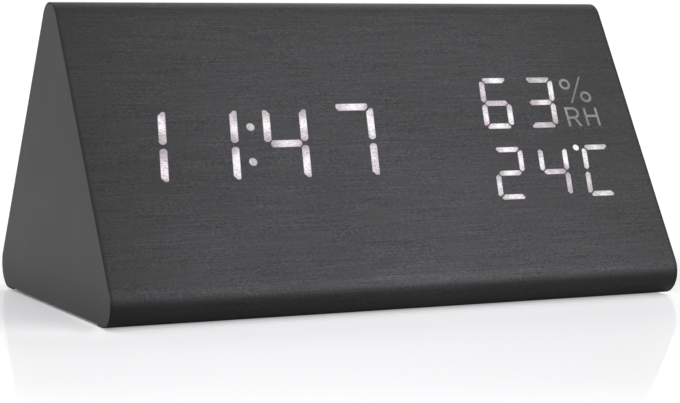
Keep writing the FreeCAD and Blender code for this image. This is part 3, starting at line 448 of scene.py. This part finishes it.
def glow_material(slot, lit_nodes, level, peak, lamp_share, base, blush_colour):
    """Light through the film: white over each lamp, blushing where it thins out, combed by the grain."""
    made, tree, surface = new_material(slot)
    spots = [spot for name in lit_nodes for spot in lamp_spots(nodes[name])]
    near = nearness(tree, spots, lamp_reach)
    patches = noise(tree, (170, 170, 170), detail=1.0, roughness=0.5, distortion=0.3)
    threads = noise(tree, (1300, 2900, 2900), detail=3.0, roughness=0.65)
    bright = product(
        tree,
        calculate(tree, "MULTIPLY_ADD", near, lamp_share, peak - lamp_share),
        between(tree, patches, (0.35, 0.65), (0.70, 1.12)),
        between(tree, threads, (0.30, 0.56), (0.62, 1.05)),
        between(tree, part_of(tree, "Object", "X"), (0.0, 35 * mm), (0.97, 0.84)),
        inside(tree, rim_reach, rim_level),
    )
    light = colours(tree, bright, light_colours)
    blush = noise(tree, (75, 75, 75), detail=1.0, roughness=0.5)
    blush = product(tree, blush, between(tree, near, (0.0, 1.0), (1.14, 0.74)))
    tint = colours(tree, blush, ((0.46, white), (0.62, blush_colour)))
    tree.links.new(multiplied(tree, light, tint), surface.inputs["Emission Color"])
    surface.inputs["Emission Strength"].default_value = level
    surface.inputs["Base Color"].default_value = (base, base, base, 1.0)
    tree.links.new(between(tree, threads, (0.3, 0.7), (0.6, 0.48)), surface.inputs["Roughness"])
    raised(tree, surface, threads, 0.03 * mm, 0.4)
    return made


def scaled(colour, factor):
    """Colour made darker or lighter by a factor."""
    return tuple(min(1.0, part * factor) for part in colour)


def moulded_material(slot, colour, roughness, cycles, bump_depth, metallic=0.0):
    """Plastic, rubber, resin or metal with an even fine texture and a slight mottle."""
    made, tree, surface = new_material(slot)
    pattern = noise(tree, cycles, detail=3.0, roughness=0.6)
    mottle = noise(tree, (70, 70, 70), detail=2.0, roughness=0.5)
    total = calculate(tree, "MULTIPLY_ADD", pattern, 0.5, product(tree, mottle, 0.5))
    ends = ((0.35, scaled(colour, 1 - colour_spread)), (0.65, scaled(colour, 1 + colour_spread)))
    tree.links.new(colours(tree, total, ends), surface.inputs["Base Color"])
    span = (roughness + roughness_spread, roughness - roughness_spread)
    tree.links.new(between(tree, pattern, (0.3, 0.7), span), surface.inputs["Roughness"])
    surface.inputs["Metallic"].default_value = metallic
    raised(tree, surface, pattern, bump_depth, 0.6)
    return made


def striped_material(slot, first, second, wave_scale, axis, roughness):
    """Even stripes across one axis, for ribbon cables."""
    made, tree, surface = new_material(slot)
    place = tree.nodes.new("ShaderNodeTexCoord")
    wave = tree.nodes.new("ShaderNodeTexWave")
    wave.bands_direction = axis
    wave.inputs["Scale"].default_value = wave_scale
    wave.inputs["Distortion"].default_value = 0.0
    tree.links.new(place.outputs["Object"], wave.inputs["Vector"])
    stripes = wave.outputs["Fac"]
    tree.links.new(colours(tree, stripes, ((0.2, first), (0.8, second))), surface.inputs["Base Color"])
    span = (roughness, roughness + 0.1)
    tree.links.new(between(tree, stripes, (0.0, 1.0), span), surface.inputs["Roughness"])
    raised(tree, surface, stripes, 0.2 * mm, 0.6)
    return made


def all_materials():
    """Every material slot of the record, by name."""
    main_bars = ("lit_time", "lit_humidity", "lit_temperature")
    made = [
        film_material(),
        board_material(),
        glow_material("glow_white", main_bars, level=0.92, peak=1.0, lamp_share=0.50, base=0.08,
                      blush_colour=pink),
        glow_material("glow_dim", ("lit_colon",), level=0.60, peak=0.80, lamp_share=0.30, base=0.07,
                      blush_colour=white),
        glow_material("glow_faint", ("lit_icons",), level=0.26, peak=0.80, lamp_share=0.10, base=0.05,
                      blush_colour=white),
        moulded_material("white_plastic", (0.80, 0.80, 0.78), 0.55, coarse, 0.02 * mm),
        moulded_material("diffuser_film", (0.78, 0.78, 0.78), 0.60, fine, 0.01 * mm),
        moulded_material("black_plastic", (0.020, 0.020, 0.021), 0.58, coarse, 0.08 * mm),
        moulded_material("key_plastic", (0.030, 0.030, 0.032), 0.36, fine, 0.01 * mm),
        moulded_material("jack_plastic", (0.012, 0.012, 0.012), 0.35, fine, 0.01 * mm),
        moulded_material("rubber", (0.025, 0.025, 0.026), 0.80, coarse, 0.06 * mm),
        moulded_material("circuit_board", (0.02, 0.16, 0.06), 0.35, coarse, 0.03 * mm),
        moulded_material("chip_black", (0.018, 0.018, 0.019), 0.55, fine, 0.02 * mm),
        moulded_material("lamp_yellow", (0.75, 0.66, 0.20), 0.25, fine, 0.01 * mm),
        moulded_material("zinc_steel", (0.62, 0.62, 0.60), 0.32, brushed, 0.01 * mm, metallic=1.0),
        moulded_material("black_steel", (0.045, 0.045, 0.045), 0.38, fine, 0.01 * mm, metallic=0.6),
        moulded_material("nickel", (0.70, 0.68, 0.62), 0.24, brushed, 0.005 * mm, metallic=1.0),
        moulded_material("cell_wrap", (0.04, 0.10, 0.16), 0.30, fine, 0.01 * mm, metallic=0.4),
        moulded_material("switch_black", (0.03, 0.03, 0.03), 0.50, fine, 0.02 * mm),
        moulded_material("plunger_white", (0.72, 0.70, 0.64), 0.45, fine, 0.02 * mm),
        moulded_material("sensor_blue", (0.02, 0.07, 0.14), 0.50, fine, 0.02 * mm),
        striped_material("ribbon_grey", (0.40, 0.40, 0.41), (0.50, 0.50, 0.51), wave_scale=120.0,
                         axis="X", roughness=0.5),
        moulded_material("red_sleeve", (0.45, 0.01, 0.01), 0.38, fine, 0.01 * mm),
        moulded_material("black_sleeve", (0.012, 0.012, 0.012), 0.38, fine, 0.01 * mm),
    ]
    return {material.name: material for material in made}


def dress_nodes(materials):
    """Gives each CAD node the material of its slot."""
    for part in frame["record"]["subparts"]:
        node = nodes[part["node"]]
        node.data.materials.clear()
        node.data.materials.append(materials[part["material_slot"]])


def on_back(u, v, w):
    """Point on the sloping back: u to the right as the back is seen, v up it and w out of it."""
    y = face_y - v * cos(slope) + w * sin(slope)
    z = face_z + v * sin(slope) + w * cos(slope)
    return Vector((-u, y, z))


def back_frame(u, v):
    """Matrix whose Z stands out of the back at a spot."""
    out = on_back(0, 0, 1) - on_back(0, 0, 0)
    up = on_back(0, 1, 0) - on_back(0, 0, 0)
    turn = Matrix((up.cross(out), up, out)).transposed()
    return Matrix.Translation(on_back(u, v, 0)) @ turn.to_4x4()


def underside_frame(x, y, z):
    """Matrix whose Z points down at a spot under the clock."""
    return Matrix.Translation((x, y, z)) @ Matrix.Rotation(pi, 4, "X")


def piece(name, mesh_maker, place, body, material):
    """Object made by a function that fills a bmesh in the piece's own frame."""
    work = bmesh.new()
    mesh_maker(work)
    bmesh.ops.recalc_face_normals(work, faces=work.faces)
    mesh = bpy.data.meshes.new(name)
    work.to_mesh(mesh)
    work.free()
    mesh.transform(place)
    mesh.shade_smooth()
    mesh.set_sharp_from_angle(angle=radians(sharp_angle))
    made = bpy.data.objects.new(name, mesh)
    bpy.context.scene.collection.objects.link(made)
    made.data.materials.append(material)
    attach(made, body)
    return made


def join_pieces(name, parts):
    """One object from several of one body and material."""
    first = parts[0]
    with bpy.context.temp_override(active_object=first, selected_editable_objects=parts):
        bpy.ops.object.join()
    first.name = name
    return first


def ring_of(work, radius, height, sides):
    """Corners of a level ring about Z, or one point where the radius is nought."""
    if radius == 0:
        return [work.verts.new((0, 0, height))]
    angles = [2 * pi * k / sides for k in range(sides)]
    return [work.verts.new((radius * cos(a), radius * sin(a), height)) for a in angles]


def skin(work, low, high, sides):
    """Faces between two rings, or between a ring and a point."""
    for k in range(sides):
        after = (k + 1) % sides
        corners = [low[k % len(low)], low[after % len(low)], high[after % len(high)], high[k % len(high)]]
        work.faces.new(list(dict.fromkeys(corners)))


def turned(work, profile):
    """Closed solid of revolution about Z from radii and heights in millimetres, axis to axis."""
    rings = [ring_of(work, radius * mm, height * mm, round_sides) for radius, height in profile]
    for low, high in zip(rings, rings[1:]):
        skin(work, low, high, round_sides)


def cross_points(radius, shares, height):
    """Twelve corners of a plus sign, from its arms' reach and half width as shares of a radius."""
    reach, half_arm = (share * radius for share in shares)
    corners = []
    for k in range(4):
        turn = Matrix.Rotation(k * pi / 2, 3, "Z")
        for x, y in ((reach, -half_arm), (reach, half_arm), (half_arm, half_arm)):
            corners.append(turn @ Vector((x, y, height)))
    return corners


def screw(work, radius, head_depth, shank_radius, length):
    """Sunk screw with a cross recess in its flat head, looking along +Z."""
    rim = ring_of(work, radius, 0, screw_sides)
    top = [work.verts.new(p) for p in cross_points(radius, cross_top, 0)]
    low = [work.verts.new(p) for p in cross_points(radius, cross_foot, -cross_depth * head_depth)]
    loops = []
    for ring in (rim, top):
        loops += [work.edges.new((ring[k], ring[(k + 1) % len(ring)])) for k in range(len(ring))]
    bmesh.ops.triangle_fill(work, use_beauty=True, use_dissolve=False, edges=loops)
    skin(work, top, low, len(top))
    work.faces.new(low)
    neck = ring_of(work, shank_radius, -head_depth, screw_sides)
    tip = ring_of(work, shank_radius, -length, screw_sides)
    skin(work, rim, neck, screw_sides)
    skin(work, neck, tip, screw_sides)
    work.faces.new(tip)


def add_base_screws(material):
    """Round cross-headed screws under the base, where the solids have plain ones."""
    lo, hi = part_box("base_screws")
    inset = base_screw[0]
    parts = []
    for x in (lo.x + inset, hi.x - inset):
        for y in (lo.y + inset, hi.y - inset):
            place = underside_frame(x, y, pad_proud)
            parts.append(piece("base_screw", lambda work: screw(work, *base_screw), place, "case",
                               material))
    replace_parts(join_pieces("base_screw_set", parts), "base_screws")


def add_panel_screws(material):
    """Round cross-headed screws at both ends of the control panel."""
    lo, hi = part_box("panel_screws")
    inset = panel_screw[0]
    parts = []
    for x in (hi.x - inset, lo.x + inset):
        place = back_frame(-x, panel_v)
        parts.append(piece("panel_screw", lambda work: screw(work, *panel_screw), place, "case",
                           material))
    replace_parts(join_pieces("panel_screw_set", parts), "panel_screws")


def add_keys(material):
    """Round keys with a soft rim and a dished top."""
    for name in ("set", "down", "up"):
        lo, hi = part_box(name + "_button")
        place = back_frame(-(lo.x + hi.x) / 2, panel_v)
        cap = piece(name + "_key_cap", lambda work: turned(work, key_profile), place, name + "_key",
                    material)
        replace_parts(cap, name + "_button")


def add_pads(material):
    """Round stick-on pads with a soft lower edge."""
    lo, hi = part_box("rest_pads")
    parts = []
    for x in (lo.x + pad_radius, hi.x - pad_radius):
        for y in (lo.y + pad_radius, hi.y - pad_radius):
            place = Matrix.Translation((x, y, 0))
            parts.append(piece("pad", lambda work: turned(work, pad_profile), place, "case",
                               material))
    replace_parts(join_pieces("rest_pad_set", parts), "rest_pads")


def make_camera():
    """Camera fitted to the photograph by the edges of the wedge."""
    data = bpy.data.cameras.new("camera")
    data.lens = camera_lens
    data.sensor_width = sensor_width
    data.clip_start = nearest_seen
    made = bpy.data.objects.new("camera", data)
    yaw = Matrix.Rotation(radians(-camera_yaw), 4, "Z")
    pitch = Matrix.Rotation(radians(90 - camera_pitch), 4, "X")
    roll = Matrix.Rotation(radians(camera_roll), 4, "Z")
    made.matrix_world = Matrix.Translation(camera_place) @ yaw @ pitch @ roll
    bpy.context.scene.collection.objects.link(made)
    bpy.context.scene.camera = made


def make_lamp(name, towards, level, spread):
    """Distant soft lamp shining from a direction; level is what a white face turned to it shows."""
    data = bpy.data.lights.new(name, "SUN")
    data.energy = level * pi
    data.angle = radians(spread)
    made = bpy.data.objects.new(name, data)
    made.rotation_mode = "QUATERNION"
    made.rotation_quaternion = Vector(towards).to_track_quat("Z", "Y")
    bpy.context.scene.collection.objects.link(made)


def mixed(tree, share, first, second):
    """Shader that goes from the first to the second as the share goes from 0 to 1."""
    node = tree.nodes.new("ShaderNodeMixShader")
    feed(tree, node.inputs["Fac"], share)
    tree.links.new(first, node.inputs[1])
    tree.links.new(second, node.inputs[2])
    return node.outputs["Shader"]


def added(tree, first, second):
    """Sum of two shaders."""
    node = tree.nodes.new("ShaderNodeAddShader")
    tree.links.new(first, node.inputs[0])
    tree.links.new(second, node.inputs[1])
    return node.outputs["Shader"]


def shown_rays(tree):
    """One for the rays that show the background: the camera's, and those in gloss and glass."""
    path = tree.nodes.new("ShaderNodeLightPath")
    shown = calculate(tree, "MAXIMUM", path.outputs["Is Camera Ray"], path.outputs["Is Glossy Ray"])
    return calculate(tree, "MAXIMUM", shown, path.outputs["Is Transmission Ray"])


def sky_shader(tree, strength):
    """White sky of some strength."""
    node = tree.nodes.new("ShaderNodeBackground")
    node.inputs["Color"].default_value = (*white, 1.0)
    node.inputs["Strength"].default_value = strength
    return node.outputs["Background"]


def make_sky():
    """Even pale sky that shows as white behind the object and in its gloss."""
    world = bpy.data.worlds.new("studio")
    bpy.context.scene.world = world
    world.use_nodes = True
    tree = world.node_tree
    tree.nodes.clear()
    output = tree.nodes.new("ShaderNodeOutputWorld")
    shader = mixed(tree, shown_rays(tree), sky_shader(tree, sky_level), sky_shader(tree, sky_shown))
    tree.links.new(shader, output.inputs["Surface"])


def diffuse_shader(tree, colour):
    """Matt surface of an even colour."""
    node = tree.nodes.new("ShaderNodeBsdfDiffuse")
    node.inputs["Color"].default_value = (*colour, 1.0)
    return node.outputs["BSDF"]


def gloss_shader(tree, roughness):
    """Pale gloss of an even roughness."""
    node = tree.nodes.new("ShaderNodeBsdfGlossy")
    node.inputs["Roughness"].default_value = roughness
    return node.outputs["BSDF"]


def camera_lift(tree, colour, strength):
    """Added brightness that only the camera sees."""
    path = tree.nodes.new("ShaderNodeLightPath")
    node = tree.nodes.new("ShaderNodeEmission")
    node.inputs["Color"].default_value = (*colour, 1.0)
    tree.links.new(product(tree, path.outputs["Is Camera Ray"], strength), node.inputs["Strength"])
    return node.outputs["Emission"]


def painted_light_in_shadow(tree):
    """Strength of the painted light, seen by the camera alone, that thins the shadow along the clock's
    edges and beside its ends.
    """
    beyond_front = beyond(tree, "Y", half_depth)
    beyond_end = beyond(tree, "X", half_length)
    along = part_of(tree, "Object", "Y")
    total = 0.0
    for first, first_stops, second, second_stops in (
        (beyond_front, front_strip_mm, beyond_end, front_strip_end_mm),
        (beyond_end, end_strip_mm, along, end_strip_along_mm),
        (beyond_end, beside_mm, along, beside_along_mm),
    ):
        level = levels(tree, first, first_stops, mm)
        share = levels(tree, second, second_stops, mm)
        total = calculate(tree, "MULTIPLY_ADD", level, share, total)
    return total


def mirror_share(tree):
    """Share of the mirror image: more towards the ends than in the middle, fading away in front."""
    beyond_front = beyond(tree, "Y", half_depth)
    across = along_way(tree, across_way)
    outward = calculate(tree, "ABSOLUTE", along_way(tree, outward_way))
    share = levels(tree, across, mirror_across_mm, mm)
    share = product(tree, share, levels(tree, beyond_front, mirror_beside_mm, mm))
    extra = levels(tree, beyond_front, mirror_extra_mm, mm)
    extra_share = levels(tree, across, mirror_extra_across_mm, mm)
    share = calculate(tree, "MULTIPLY_ADD", extra, extra_share, share)
    return product(tree, share, levels(tree, outward, mirror_outward_mm, mm))


def floor_material():
    """White to the camera and in gloss, greyer for bounced light, with a haze and a mirror image, and
    painted light for the camera that thins the shadow near the clock.
    """
    material, tree, surface = new_material("floor_white")
    tree.nodes.remove(surface)
    lift = camera_lift(tree, floor_lift_colour, floor_lift)
    # Painted light for the camera that thins the shadow near the clock
    painted_light = camera_lift(tree, painted_light_colour, painted_light_in_shadow(tree))
    shown = added(tree, diffuse_shader(tree, white), added(tree, lift, painted_light))
    bounced = diffuse_shader(tree, (floor_bounce, floor_bounce, floor_bounce))
    matt = mixed(tree, shown_rays(tree), bounced, shown)
    hazy = mixed(tree, floor_haze, matt, gloss_shader(tree, haze_roughness))
    coated = mixed(tree, mirror_share(tree), hazy, gloss_shader(tree, mirror_roughness))
    tree.links.new(coated, tree.nodes["Material Output"].inputs["Surface"])
    return material


def make_floor():
    """Table to the horizon."""
    mesh = bpy.data.meshes.new("floor")
    corners = [(x * floor_reach, y * floor_reach, 0) for x, y in ((-1, -1), (1, -1), (1, 1), (-1, 1))]
    mesh.from_pydata(corners, [], [(0, 1, 2, 3)])
    mesh.materials.append(floor_material())
    made = bpy.data.objects.new("floor", mesh)
    bpy.context.scene.collection.objects.link(made)


bpy.context.scene.view_settings.view_transform = "Standard"
for carried_over in list(bpy.data.materials):
    bpy.data.materials.remove(carried_over)
materials = all_materials()
dress_nodes(materials)
add_base_screws(materials["black_steel"])
add_panel_screws(materials["black_steel"])
add_keys(materials["key_plastic"])
add_pads(materials["rubber"])
make_floor()
make_sky()
make_lamp("left_lamp", **left_lamp)
make_lamp("right_lamp", **right_lamp)
make_camera()
